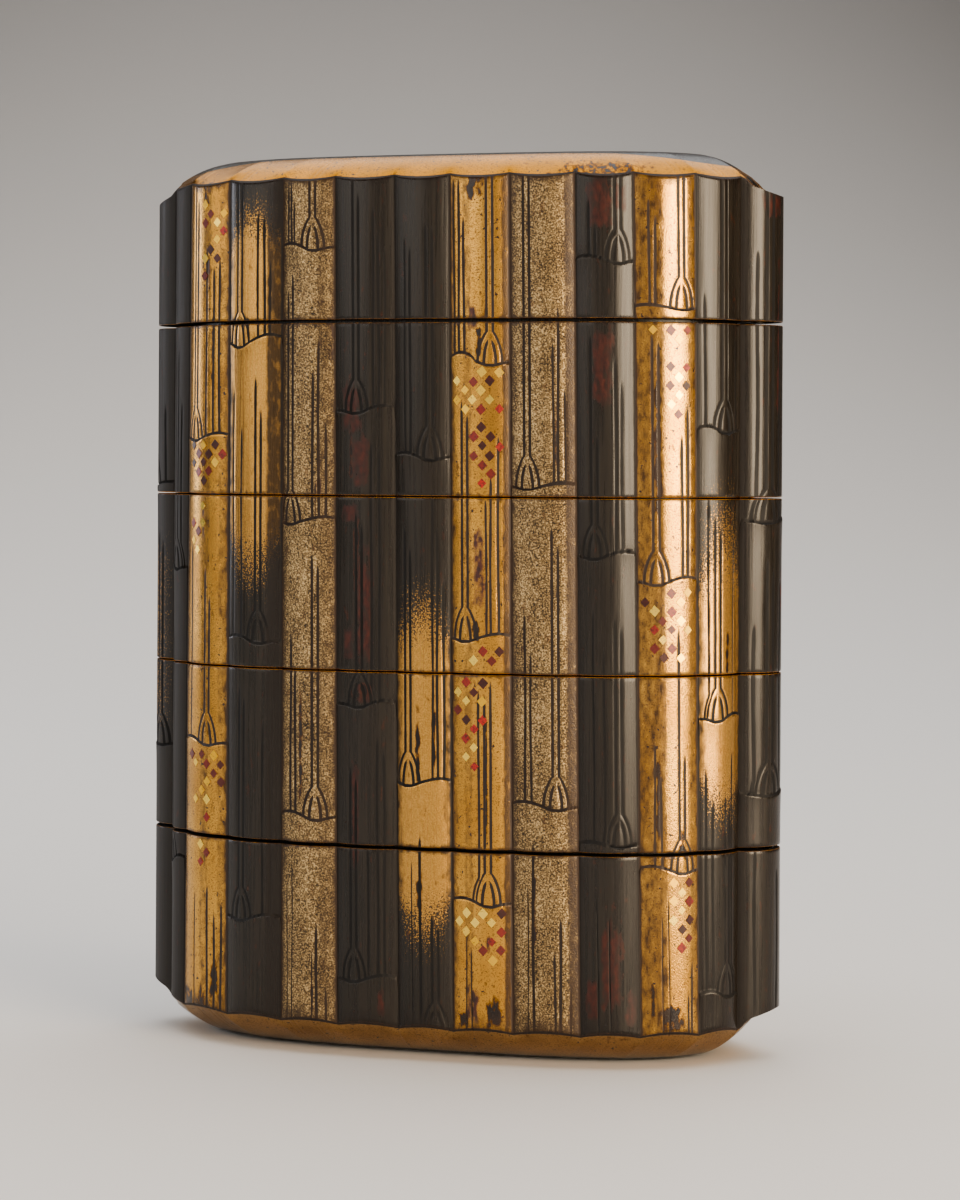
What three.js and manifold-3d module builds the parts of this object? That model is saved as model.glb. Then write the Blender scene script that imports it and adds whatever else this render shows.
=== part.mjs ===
// A five-section inro: a stack of small lacquered boxes whose walls are shaped as a row of
// bamboo stems. A thin riser stands up inside each case and the piece above slides over it.
// A cord runner with a channel through it stands at each end of every section.
// Millimetres, +Z up, origin under the middle of the underside, front facing -Y.
import * as THREE from 'three';
import { mergeVertices } from 'three/addons/utils/BufferGeometryUtils.js';
import Module from 'manifold-3d';

const wasm = await Module();
wasm.setup();

// --- Driving dimensions ------------------------------------------------------------------

// Plan: the grooves between the stems lie on one smooth curve, |x/a|^roundness + (y/b)^2 = 1.
const grooveHalfWidth = 27.95;
const grooveHalfDepth = 11.9;
const roundness = 3.3;
const stemRise = 0.7;          // how far a stem bulges past the line between its grooves
const runnerRise = 3.15;       // the same for the cord runners at the two ends
const runnerHalfLength = 3.6;  // from the runner's middle to its groove, front or back
// Widths of the stems along the front, left to right, from runner to runner, at the foot and
// at the top: the stems lean a little, as grown bamboo does. The widths only share out the
// curve, so their proportions matter. The back repeats them.
const footWidths = [3.8, 6.6, 6.05, 5.75, 5.95, 5.25, 5.65, 6.2, 5.45, 5.6, 4.6];
const topWidths = [4.5, 5.8, 5.9, 5.3, 5.75, 5.3, 5.65, 6.05, 5.25, 5.85, 5.45];
const facetsPerStem = 6;
const facetsPerRunner = 10;

// Heights: base case, three equal cases and the lid.
const baseHeight = 19.2;
const caseHeight = 15.85;
const totalHeight = 82.3;
const wideSeam = 0.3;          // the two worn seams, under the lid and over the base case
const tightSeam = 0.12;        // the two seams that still close

// Shoulder: the dome that the top and the underside are cut to.
const lidShoulder = 2.8;       // from the lid's flat down to the tops of the stems
const baseShoulder = 3.45;     // the same under the base case
const shoulderReach = 6.0;     // from the stems inwards to the flat
const shoulderPower = 2.2;     // 1 would be a bevel, larger is rounder
const grooveFollow = 0.5;      // how much of a groove's depth the shoulder's edge follows
const runnerStep = 0.3;        // the runners end this much short of the stems
const runnerSlope = 0.35;      // and their ends slope away outwards
const shoulderSteps = [0.7, 1.9, 3.4, shoulderReach];

// Walls, measured inwards from the groove curve: [along X, along Y].
const recessInset = [1.9, 1.0];       // socket that takes the riser of the case below
const riserInset = [2.15, 1.25];
const cavityInset = [3.05, 2.1];
const crownInset = 3.0;              // extra inset of the chamfer inside lid and base
const riserHeight = 4.5;
const riserClearance = 0.3;          // above the riser, inside the piece that covers it
const floorThickness = 1.2;
const shellThickness = 1.4;          // of the lid's crown and the base's floor
const chamferHeight = 1.3;
const insideFacets = 64;

// Cord channels through the runners.
const channelX = 28.5;
const channelHalfWidth = 1.15;
const channelHalfLength = 1.6;
const channelFacets = 16;

const seams = [0, 1, 2, 3].map((k) => baseHeight + k * caseHeight);
const throughCut = 1;                // how far a cutting tool runs past what it cuts

// --- Outline -----------------------------------------------------------------------------

// A point of the groove curve drawn in by an inset; the parameter is an angle in radians.
function curvePoint(angle, inset = [0, 0]) {
  const c = Math.cos(angle);
  const reach = Math.sign(c) * Math.abs(c) ** (2 / roundness);
  return new THREE.Vector2(
    (grooveHalfWidth - inset[0]) * reach,
    (grooveHalfDepth - inset[1]) * Math.sin(angle),
  );
}

function smoothOutline(inset) {
  return Array.from({ length: insideFacets }, (_, i) =>
    curvePoint((2 * Math.PI * (i + 0.5)) / insideFacets, inset));
}

const stemWidthsAt = (z) => footWidths.map((foot, i) =>
  foot + ((topWidths[i] - foot) * z) / totalHeight);

// Angles of the grooves along the front, left to right, spaced by the stems' widths.
function grooveAngles(stemWidths) {
  const samples = 4000;
  const fromRunner = Math.asin(runnerHalfLength / grooveHalfDepth);
  const first = Math.PI + fromRunner;
  const last = 2 * Math.PI - fromRunner;
  const angles = Array.from({ length: samples + 1 }, (_, i) =>
    first + ((last - first) * i) / samples);
  const lengths = [0];
  for (let i = 1; i <= samples; i++) {
    const step = curvePoint(angles[i]).distanceTo(curvePoint(angles[i - 1]));
    lengths.push(lengths[i - 1] + step);
  }
  const widthSum = stemWidths.reduce((sum, width) => sum + width, 0);
  let travelled = 0;
  const grooves = [first];
  for (const width of stemWidths.slice(0, -1)) {
    travelled += (width / widthSum) * lengths[samples];
    grooves.push(angles[lengths.findIndex((length) => length >= travelled)]);
  }
  return [...grooves, last];
}

// Points of one stem or runner: an arc from one groove to the next, its far groove left off.
// Each point keeps its place across the wall (depth below the stems' crests) and its angle.
function ribPoints(fromAngle, toAngle, rise, facets) {
  const from = curvePoint(fromAngle);
  const to = curvePoint(toAngle);
  const chord = to.clone().sub(from);
  const outward = new THREE.Vector2(chord.y, -chord.x).normalize();
  const halfSweep = 2 * Math.atan((2 * rise) / chord.length());
  const radius = chord.length() / 2 / Math.sin(halfSweep);
  const centre = from.clone().add(to).multiplyScalar(0.5)
    .addScaledVector(outward, rise - radius);
  return Array.from({ length: facets }, (_, i) => {
    const turn = halfSweep * ((2 * i) / facets - 1);
    const point = centre.clone()
      .addScaledVector(chord.clone().normalize(), radius * Math.sin(turn))
      .addScaledVector(outward, radius * Math.cos(turn));
    const bulge = radius * Math.cos(turn) - (radius - rise);
    const angle = fromAngle + ((toAngle - fromAngle) * i) / facets;
    return { x: point.x, y: point.y, depth: stemRise - bulge, angle };
  });
}

// The fluted outline at a height, anticlockwise from the groove beside the left runner.
function flutedOutline(z) {
  const front = grooveAngles(stemWidthsAt(z));
  const stems = [];
  for (let i = 0; i + 1 < front.length; i++) {
    stems.push(...ribPoints(front[i], front[i + 1], stemRise, facetsPerStem));
  }
  const rightEnd = front.at(-1);
  const runner = ribPoints(rightEnd, 4 * Math.PI - rightEnd, runnerRise, facetsPerRunner);
  const half = [...stems, ...runner];
  return [...half, ...half.map(({ x, y, depth, angle }) =>
    ({ x: -x, y: -y, depth, angle: angle + Math.PI }))];
}

// --- Solids ------------------------------------------------------------------------------

const ringAt = (outline, z) => outline.map(({ x, y }) => new THREE.Vector3(x, y, z));

// A closed solid through rings of points, lowest ring first, each anticlockwise from above.
function loft(rings) {
  const count = rings[0].length;
  const indices = [];
  for (let r = 0; r + 1 < rings.length; r++) {
    for (let i = 0; i < count; i++) {
      const a = r * count + i;
      const b = r * count + ((i + 1) % count);
      indices.push(a, b, b + count, a, b + count, a + count);
    }
  }
  const top = (rings.length - 1) * count;
  const flat = (ring) => ring.map((p) => new THREE.Vector2(p.x, p.y));
  for (const [a, b, c] of THREE.ShapeUtils.triangulateShape(flat(rings[0]), [])) {
    indices.push(c, b, a);
  }
  for (const [a, b, c] of THREE.ShapeUtils.triangulateShape(flat(rings.at(-1)), [])) {
    indices.push(top + a, top + b, top + c);
  }
  const geometry = new THREE.BufferGeometry().setFromPoints(rings.flat());
  geometry.setIndex(indices);
  return geometry;
}

function toSolid(geometry) {
  const merged = mergeVertices(geometry);
  return new wasm.Manifold(new wasm.Mesh({
    numProp: 3,
    vertProperties: merged.getAttribute('position').array,
    triVerts: Uint32Array.from(merged.getIndex().array),
  }));
}

function toGeometry(solid) {
  const mesh = solid.getMesh();
  const geometry = new THREE.BufferGeometry();
  geometry.setAttribute('position', new THREE.BufferAttribute(mesh.vertProperties, 3));
  geometry.setIndex(new THREE.BufferAttribute(mesh.triVerts, 1));
  geometry.computeVertexNormals();
  return geometry;
}

const prism = (outline, bottom, top) =>
  toSolid(loft([ringAt(outline, bottom), ringAt(outline, top)]));

const flutedRing = (z) => ringAt(flutedOutline(z), z);

// Height of the dome above the tops of the stems, at a distance in from their crests.
function domeRise(inset, drop) {
  if (inset < 0) return runnerSlope * inset - runnerStep;
  return drop * (1 - (1 - inset / shoulderReach) ** shoulderPower);
}

// Rings from the stems' ends over the shoulder to the flat, for a dome that faces up.
function shoulderRings(outline, flatHeight, drop) {
  const plateau = [shoulderReach, shoulderReach];
  const edge = outline.map(({ x, y, depth }) => {
    const rise = domeRise(depth > 0 ? depth * grooveFollow : depth, drop);
    return new THREE.Vector3(x, y, flatHeight - drop + rise);
  });
  const ringAtInset = (inset) => outline.map((point) => {
    const share = (inset - point.depth) / (shoulderReach - point.depth);
    const inner = curvePoint(point.angle, plateau);
    return new THREE.Vector3(
      point.x + (inner.x - point.x) * share,
      point.y + (inner.y - point.y) * share,
      flatHeight - drop + domeRise(inset, drop),
    );
  });
  return [edge, ...shoulderSteps.map(ringAtInset)];
}

const upsideDown = (rings) =>
  rings.map((ring) => ring.map((p) => new THREE.Vector3(p.x, p.y, -p.z))).reverse();

// The smooth hollow inside lid or base: straight walls and a chamfer up to the crown.
function crownedHollow(inset, bottom, crown) {
  const inner = inset.map((value) => value + crownInset);
  return loft([
    ringAt(smoothOutline(inset), bottom),
    ringAt(smoothOutline(inset), crown - chamferHeight),
    ringAt(smoothOutline(inner), crown),
  ]);
}

function cordChannels() {
  const oval = (x) => Array.from({ length: channelFacets }, (_, i) => {
    const angle = (2 * Math.PI * i) / channelFacets;
    return new THREE.Vector2(
      x + channelHalfWidth * Math.cos(angle),
      channelHalfLength * Math.sin(angle),
    );
  });
  const bore = (x) => prism(oval(x), -throughCut, totalHeight + throughCut);
  return bore(channelX).add(bore(-channelX));
}

const channels = cordChannels();

const riser = (seam) =>
  prism(smoothOutline(riserInset), seam - throughCut, seam + riserHeight);

const socket = (bottom) =>
  prism(smoothOutline(recessInset), bottom - throughCut, bottom + riserHeight + riserClearance);

// The lid: a hollow cap that covers the riser of the case below it.
function makeLid(bottom) {
  const shoulder = shoulderRings(flutedOutline(totalHeight), totalHeight, lidShoulder);
  const outside = toSolid(loft([flutedRing(bottom), ...shoulder]));
  const hollow = crownedHollow(recessInset, bottom - throughCut, totalHeight - shellThickness);
  return outside.subtract(toSolid(hollow)).subtract(channels);
}

// A case between two seams: socket below, floor, cavity and riser above.
function makeCase(bottom, top) {
  const floor = bottom + riserHeight + riserClearance + floorThickness;
  const cavity = prism(smoothOutline(cavityInset), floor, top + riserHeight + throughCut);
  return toSolid(loft([flutedRing(bottom), flutedRing(top)])).add(riser(top))
    .subtract(socket(bottom)).subtract(cavity).subtract(channels);
}

// The base case: the lid's shape turned over, with a riser on top.
function makeBase(top) {
  const shoulder = upsideDown(shoulderRings(flutedOutline(0), 0, baseShoulder));
  const outside = toSolid(loft([...shoulder, flutedRing(top)]));
  const roof = -shellThickness;
  const hollow = crownedHollow(cavityInset, -(top + riserHeight + throughCut), roof);
  const cavity = toSolid(hollow.rotateX(Math.PI));
  return outside.add(riser(top)).subtract(cavity).subtract(channels);
}

// --- The object --------------------------------------------------------------------------

const lacquer = new THREE.MeshStandardMaterial({ color: 0x3a2f25, roughness: 0.42, metalness: 0.1 });
const goldLacquer = new THREE.MeshStandardMaterial({ color: 0xb98a45, roughness: 0.38, metalness: 0.7 });

function section(name, solid, material) {
  const mesh = new THREE.Mesh(toGeometry(solid), material);
  mesh.name = name;
  return mesh;
}

const inro = new THREE.Group();
inro.add(
  section('base_case', makeBase(seams[0] - wideSeam / 2), lacquer),
  section('lower_case', makeCase(seams[0] + wideSeam / 2, seams[1] - tightSeam / 2), lacquer),
  section('middle_case', makeCase(seams[1] + tightSeam / 2, seams[2] - tightSeam / 2), lacquer),
  section('upper_case', makeCase(seams[2] + tightSeam / 2, seams[3] - wideSeam / 2), lacquer),
  section('lid', makeLid(seams[3] + wideSeam / 2), goldLacquer),
);

export default inro;
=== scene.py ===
# %% [markdown]
# # A five-section inro in the form of a row of bamboo stems
# An inro is a stack of small lacquered boxes that slide over one another and hang from a cord.
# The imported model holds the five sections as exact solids. Here each one gets its real surface:
# incised bamboo nodes, buds and furrows, sprinkled gold, dark lacquer, wear and small inlays.
# Lengths are thought of in millimetres, as a lacquerer would, and turned to metres in one place.

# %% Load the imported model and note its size
import math
import random
import bpy
import numpy as np
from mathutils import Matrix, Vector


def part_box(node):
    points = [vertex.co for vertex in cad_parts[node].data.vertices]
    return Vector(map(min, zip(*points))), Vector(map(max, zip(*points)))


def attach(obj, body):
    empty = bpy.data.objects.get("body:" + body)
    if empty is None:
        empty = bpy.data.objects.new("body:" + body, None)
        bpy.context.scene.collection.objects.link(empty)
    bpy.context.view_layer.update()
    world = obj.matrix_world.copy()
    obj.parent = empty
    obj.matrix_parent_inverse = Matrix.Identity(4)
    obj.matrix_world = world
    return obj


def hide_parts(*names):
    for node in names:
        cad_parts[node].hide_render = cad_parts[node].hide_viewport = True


MM = 0.001
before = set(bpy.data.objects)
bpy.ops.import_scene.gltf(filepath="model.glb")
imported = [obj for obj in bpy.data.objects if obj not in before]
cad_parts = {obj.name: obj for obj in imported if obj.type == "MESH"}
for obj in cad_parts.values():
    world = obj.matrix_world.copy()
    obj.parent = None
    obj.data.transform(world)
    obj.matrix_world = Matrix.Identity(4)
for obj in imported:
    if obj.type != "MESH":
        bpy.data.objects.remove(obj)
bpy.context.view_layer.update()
SECTIONS = ["base_case", "lower_case", "middle_case", "upper_case", "lid"]
wall_low = [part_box(name)[0][2] / MM for name in SECTIONS]
total_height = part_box("lid")[1][2] / MM
print("sections start at", [round(z, 2) for z in wall_low], "and end at", round(total_height, 2))

# %% [markdown]
# ## Camera
# A long lens from low down, a little to the right of the front. The camera stays level, so the
# stems stay upright in the picture, and the lens shift brings the foot into view.

# %% Camera
CAMERA_TURN = math.radians(15.85)
CAMERA_DISTANCE = 286.2
CAMERA_SIDE = 1.66
CAMERA_HEIGHT = 54.8
camera_data = bpy.data.cameras.new("camera")
camera_data.lens = 91.5
camera_data.shift_y = -0.122
camera = bpy.data.objects.new("camera", camera_data)
bpy.context.scene.collection.objects.link(camera)
turn_sin, turn_cos = math.sin(CAMERA_TURN), math.cos(CAMERA_TURN)
camera.location = (
    (CAMERA_DISTANCE * turn_sin + CAMERA_SIDE * turn_cos) * MM,
    (-CAMERA_DISTANCE * turn_cos + CAMERA_SIDE * turn_sin) * MM,
    CAMERA_HEIGHT * MM,
)
camera.rotation_euler = (math.pi / 2, math.radians(-0.31), CAMERA_TURN)
bpy.context.scene.camera = camera
print("camera at", [round(v, 3) for v in camera.location])

# %% [markdown]
# ## Helpers
# Colours are written as sRGB hex values and turned to linear light once. One function adds a
# shader node with its settings and links. Everything is deselected before a new primitive.

# %% Helpers
def linear(hex_colour):
    channels = [int(hex_colour[i:i + 2], 16) / 255 for i in (1, 3, 5)]
    to_linear = [c / 12.92 if c <= 0.04045 else ((c + 0.055) / 1.055) ** 2.4 for c in channels]
    return (*to_linear, 1.0)


def add(tree, kind, inputs=None, **settings):
    node = tree.nodes.new("ShaderNode" + kind)
    for name, value in settings.items():
        setattr(node, name, value)
    for key, value in (inputs or {}).items():
        if isinstance(value, bpy.types.NodeSocket):
            tree.links.new(value, node.inputs[key])
        else:
            node.inputs[key].default_value = value
    return node


def new_material(name):
    material = bpy.data.materials.new(name)
    material.use_nodes = True
    material.node_tree.nodes.clear()
    return material


def deselect():
    if bpy.context.object and bpy.context.object.mode != "OBJECT":
        bpy.ops.object.mode_set(mode="OBJECT")
    bpy.ops.object.select_all(action="DESELECT")


def ease(x):
    """A smooth step from 0 to 1, flat at both ends."""
    x = np.clip(x, 0.0, 1.0)
    return x * x * (3 - 2 * x)


deselect()

# %% [markdown]
# ## Studio
# The real piece stands on a seamless pale sweep. A bowl does the same all round: a flat disc
# whose rim is drawn up in a soft curve, so every view has a quiet ground and no corner.

# %% Sweep
FLOOR_RADIUS = 0.36
WALL_RADIUS = 1.05
WALL_HEIGHT = 0.80
BEND_POWER = 2.6          # how slowly the floor starts to rise
BEND_STEPS = 24
bpy.ops.mesh.primitive_circle_add(vertices=96, radius=FLOOR_RADIUS, fill_type="NGON")
sweep = bpy.context.object
sweep.name = "sweep"
bpy.ops.object.mode_set(mode="EDIT")
bpy.ops.mesh.select_mode(type="EDGE")
bpy.ops.mesh.select_all(action="SELECT")
radius, height = FLOOR_RADIUS, 0.0
for step in range(1, BEND_STEPS + 1):
    share = step / BEND_STEPS
    next_radius = FLOOR_RADIUS + (WALL_RADIUS - FLOOR_RADIUS) * share
    next_height = WALL_HEIGHT * share ** BEND_POWER
    bpy.ops.mesh.extrude_edges_move(
        TRANSFORM_OT_translate={"value": (0, 0, next_height - height)})
    bpy.ops.transform.resize(value=(next_radius / radius, next_radius / radius, 1))
    radius, height = next_radius, next_height
bpy.ops.mesh.select_all(action="SELECT")
bpy.ops.mesh.normals_make_consistent(inside=True)
bpy.ops.object.mode_set(mode="OBJECT")
bpy.ops.object.shade_smooth()
print("sweep", [round(v, 3) for v in sweep.dimensions])

# %% Paper of the sweep
# Matt grey paper, pale under the piece and behind the camera, where the gold mirrors it. Behind
# the piece its colour is painted darker as it rises, most of all towards its two sides: painted
# shade of the light falling off.
paper = new_material("matt_grey_paper")
tree = paper.node_tree
place = add(tree, "TexCoord").outputs["Object"]
place = add(tree, "Mapping", {"Vector": place, "Rotation": (0, 0, -CAMERA_TURN)}).outputs[0]
axes = add(tree, "SeparateXYZ", {0: place}).outputs
front = add(tree, "MapRange", {"Value": axes["Y"], "From Min": -0.75, "From Max": -0.1})
upper = add(tree, "MapRange", {"Value": axes["Z"], "From Min": 0.0, "From Max": 0.30})
upper = add(tree, "Math", {0: upper.outputs[0], 1: 0.7}, operation="POWER")
aside = add(tree, "Math", {0: axes["X"], 1: 0.05}, operation="ADD").outputs[0]
aside = add(tree, "Math", {0: aside, 1: aside}, operation="MULTIPLY").outputs[0]
raised = add(tree, "Math", {0: upper.outputs[0], 1: 0.2}, operation="ADD").outputs[0]
painted_side_shade = add(tree, "Math", {0: aside, 1: raised}, operation="MULTIPLY").outputs[0]
painted_side_shade = add(tree, "MapRange", {"Value": painted_side_shade, "From Min": 0.001, "From Max": 0.085}).outputs[0]
tone = add(tree, "Mix", {0: upper.outputs[0], 6: linear("#E2DFDC"), 7: linear("#726F6D")},
           data_type="RGBA")
tone = add(tree, "Mix", {0: painted_side_shade, 6: tone.outputs[2], 7: linear("#4A4846")}, data_type="RGBA")
tone = add(tree, "Mix", {0: front.outputs[0], 6: linear("#D2CFCB"), 7: tone.outputs[2]},
           data_type="RGBA")
paper_shader = add(tree, "BsdfPrincipled", {"Base Color": tone.outputs[2], "Roughness": 0.9,
                                            "Specular IOR Level": 0.2})
add(tree, "OutputMaterial", {"Surface": paper_shader.outputs[0]})
sweep.data.materials.append(paper)

# %% [markdown]
# ## Light
# Lacquer shows its form by what it mirrors, so the lights are large soft boxes that stand where
# their mirror images should lie. The warm key at the right draws the bright line down each stem,
# a cool strip picks out the left end, a wide fill stands at the front left, and a large box
# hangs above and behind. The room itself adds a little even light.

# %% Lights
def softbox(name, azimuth, elevation, distance, width, height, watts, colour="#FFFFFF"):
    """A rectangular area light that faces the middle of the object."""
    data = bpy.data.lights.new(name, "AREA")
    data.shape = "RECTANGLE"
    data.size, data.size_y = width, height
    data.energy = watts
    data.color = linear(colour)[:3]
    light = bpy.data.objects.new(name, data)
    bpy.context.scene.collection.objects.link(light)
    turn, rise = math.radians(azimuth), math.radians(elevation)
    light.location = (distance * math.sin(turn) * math.cos(rise),
                      -distance * math.cos(turn) * math.cos(rise),
                      distance * math.sin(rise) + total_height * MM / 2)
    light.rotation_euler = (math.pi / 2 - rise, 0, turn)
    light.visible_camera = False


softbox("key_window", 58, 7, 0.46, 0.27, 0.24, 2.85, "#FFE8C8")
softbox("left_strip", -98, 4, 0.55, 0.16, 0.34, 0.75, "#F4F6FF")
softbox("front_fill", -42, 8, 0.62, 0.80, 0.40, 1.55, "#FFFAF4")
softbox("overhead", 180, 72, 0.95, 1.90, 1.70, 17.0)
world = bpy.data.worlds.new("room")
world.use_nodes = True
world.node_tree.nodes["Background"].inputs[0].default_value = linear("#B8B6B4")
world.node_tree.nodes["Background"].inputs[1].default_value = 0.12
bpy.context.scene.world = world
bpy.context.scene.view_settings.look = "AgX - Medium High Contrast"

# %% [markdown]
# ## The plan of the inro
# The grooves between the stems lie on one smooth curve, |x/a|^p + (y/b)^2 = 1, and each stem is
# an arc from one groove to the next. These are the same sizes as the solids have.

# %% Plan sizes and the groove curve
GROOVE_HALF_WIDTH, GROOVE_HALF_DEPTH, ROUNDNESS = 27.95, 11.9, 3.3
STEM_RISE, RUNNER_RISE, RUNNER_HALF_LENGTH = 0.7, 3.15, 3.6
FOOT_WIDTHS = [3.8, 6.6, 6.05, 5.75, 5.95, 5.25, 5.65, 6.2, 5.45, 5.6, 4.6]
TOP_WIDTHS = [4.5, 5.8, 5.9, 5.3, 5.75, 5.3, 5.65, 6.05, 5.25, 5.85, 5.45]
STEMS = len(FOOT_WIDTHS)
RIBS = 2 * STEMS + 2
RIGHT_RUNNER, LEFT_RUNNER = STEMS, RIBS - 1
WIDE_SEAM, TIGHT_SEAM = 0.3, 0.12
seam_gaps = [WIDE_SEAM, TIGHT_SEAM, TIGHT_SEAM, WIDE_SEAM]
wall_high = [low - gap for low, gap in zip(wall_low[1:], seam_gaps)] + [total_height]


def curve_point(angle, inset=(0.0, 0.0)):
    """A point of the groove curve, drawn in by an inset along X and along Y."""
    reach = np.sign(np.cos(angle)) * np.abs(np.cos(angle)) ** (2 / ROUNDNESS)
    return np.stack([(GROOVE_HALF_WIDTH - inset[0]) * reach,
                     (GROOVE_HALF_DEPTH - inset[1]) * np.sin(angle)], axis=-1)


def groove_angles(z):
    """Where the 24 grooves lie at a height, anticlockwise from beside the left runner."""
    beside_runner = math.asin(RUNNER_HALF_LENGTH / GROOVE_HALF_DEPTH)
    angles = np.linspace(math.pi + beside_runner, 2 * math.pi - beside_runner, 4001)
    steps = np.linalg.norm(np.diff(curve_point(angles), axis=0), axis=1)
    length = np.concatenate([[0], np.cumsum(steps)])
    share = z / total_height
    widths = np.array(FOOT_WIDTHS) * (1 - share) + np.array(TOP_WIDTHS) * share
    ends = np.concatenate([[0], np.cumsum(widths)]) / widths.sum() * length[-1]
    front = np.interp(ends, length, angles)
    return np.concatenate([front, front + math.pi])


class Outline:
    """The fluted outline at one height: 24 arcs, each from its groove to the next."""

    def __init__(self, z):
        self.start = groove_angles(z)
        self.end = np.concatenate([self.start[1:], [self.start[0] + 2 * math.pi]])
        first, last = curve_point(self.start), curve_point(self.end)
        chord = last - first
        self.width = np.linalg.norm(chord, axis=1)
        self.along = chord / self.width[:, None]
        self.outward = np.stack([self.along[:, 1], -self.along[:, 0]], axis=1)
        self.rise = np.full(RIBS, STEM_RISE)
        self.rise[[RIGHT_RUNNER, LEFT_RUNNER]] = RUNNER_RISE
        self.sweep = 2 * np.arctan(2 * self.rise / self.width)
        self.radius = self.width / 2 / np.sin(self.sweep)
        self.centre = (first + last) / 2 + self.outward * (self.rise - self.radius)[:, None]

    def at(self, rib, u):
        """Point, outward normal, depth under the crests and curve angle at u of each rib."""
        turn = (self.sweep[rib] * (2 * u - 1))[..., None]
        normal = self.along[rib] * np.sin(turn) + self.outward[rib] * np.cos(turn)
        point = self.centre[rib] + self.radius[rib][..., None] * normal
        bulge = self.radius[rib] * np.cos(turn[..., 0]) - (self.radius[rib] - self.rise[rib])
        angle = self.start[rib] + (self.end[rib] - self.start[rib]) * u
        return point, normal, STEM_RISE - bulge, angle


outlines = {z: Outline(z) for z in [0.0, *wall_low[1:], *wall_high[:-1], total_height]}
mean_width = (outlines[0.0].width + outlines[total_height].width) / 2
print("stem widths", np.round(mean_width[:STEMS], 2))

# %% [markdown]
# ## The stems
# Every stem is grown bamboo: joints where a wavy line crosses it, and at each joint a bud, drawn
# as an arch inside two lines that come down side by side and part around it. Further furrows
# start at their own heights and run down to the next joint. Places across a stem run from 0 at
# its left groove to 1 at its right one, and heights are millimetres above the foot.

# %% A joint and a stem
class Joint:
    """A joint of the bamboo: its height, its bud's place and where the pair above it starts.

    swing scales the wave of its line, and a hump is (middle, half width, rise)."""

    def __init__(self, height, bud, pair_left, pair_right, swing=1.0, hump=None):
        self.height, self.bud, self.swing, self.hump = height, bud, swing, hump
        self.pair = {-1: pair_left, 1: pair_right}

    def wave(self, u):
        """How the line across the stem sags under the bud and rises opposite it."""
        opposite = 0.80 if self.bud < 0.5 else 0.20
        sag = np.exp(-((u - self.bud) / 0.18) ** 2)
        crest = np.exp(-((u - opposite) / 0.26) ** 2)
        line = self.swing * (0.42 * crest - 0.40 * sag)
        if self.hump:
            middle, half, rise = self.hump
            line = line + rise * np.sqrt(np.clip(1 - ((u - middle) / half) ** 2, 0, 1))
        return line


class Stem:
    """The finish of one stem and all that is cut into it.

    furrows are (place, start height), gold is (height, cover) from the top down, and red and
    worn are patches: (place, top, bottom, half width in millimetres). brown are strips of its
    width that are darker, partly tarnish and partly painted shade on flanks turned from the
    light: (from, to, how much)."""

    def __init__(self, finish, joints, furrows=(), gold=(), red=(), worn=(), brown=()):
        self.finish, self.furrows, self.brown = finish, list(furrows), list(brown)
        self.joints = sorted(joints, key=lambda joint: -joint.height)
        self.gold = list(gold) or [(total_height, 1.0 if finish == "gold" else 0.0)]
        self.red, self.worn = list(red), list(worn)


TOP = 82.0
stems = {}
stems[0] = Stem("dark", [Joint(44.0, 0.55, 66, 65), Joint(16.5, 0.4, 40, 39)],
                [(0.2, 71), (0.75, 60), (0.25, 30)])
stems[1] = Stem(
    "gold",
    [Joint(56.2, 0.28, TOP, 79), Joint(27.9, 0.60, 44.8, 42.0)],
    [(0.55, 74.5), (0.70, 72.6), (0.81, 73.5), (0.2, 47), (0.35, 14.6), (0.64, 15.2),
     (0.77, 13.0), (0.89, 13.8)],
    red=[(0.55, 80.0, 77.4, 0.5), (0.58, 74.4, 70.0, 0.35), (0.5, 52, 46, 0.3)],
    worn=[(0.54, 79.6, 77.3, 0.55), (0.78, 8.0, 4.0, 0.6), (0.2, 5.2, 3.0, 1.2),
          (0.68, 70.2, 57.2, 0.12), (0.55, 5.5, 3.1, 0.5)],
    brown=[(0.5, 0.62, 0.45), (0.84, 1.0, 0.45)])
stems[2] = Stem(
    "sprinkled",
    [Joint(65.0, 0.25, TOP, TOP, 1.6), Joint(37.6, 0.61, 62.4, 59.3), Joint(12.1, 0.32, 34, 33)],
    [(0.60, 77.5), (0.71, 77.0), (0.80, 73.0), (0.12, 61.5), (0.30, 58), (0.70, 31), (0.82, 28)],
    gold=[(79.5, 0.0), (73.5, 0.8), (70, 1.0), (50, 1.0), (40, 0.0)],
    worn=[(0.42, 67.5, 64.9, 0.3)], brown=[(0.78, 1.0, 0.95)])
stems[3] = Stem(
    "nashiji",
    [Joint(73.5, 0.61, TOP, TOP), Joint(48.6, 0.19, 70.1, 71.7), Joint(21.7, 0.65, 46.4, 45.4)],
    [(0.14, 80), (0.21, 80), (0.27, 78.6), (0.61, 62.9), (0.71, 65.5), (0.83, 58.2),
     (0.21, 39.1), (0.30, 36), (0.14, 16.6), (0.24, 18.2), (0.59, 10.6), (0.67, 12.7), (0.82, 7.1)],
    red=[(0.72, 53, 50.4, 0.4), (0.95, 70, 62, 0.25)],
    worn=[(0.40, 35.5, 21.8, 0.22), (0.66, 53.5, 48.6, 0.12), (0.60, 7, 3.6, 0.2)],
    brown=[(0.72, 1.0, 0.5)])
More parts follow.
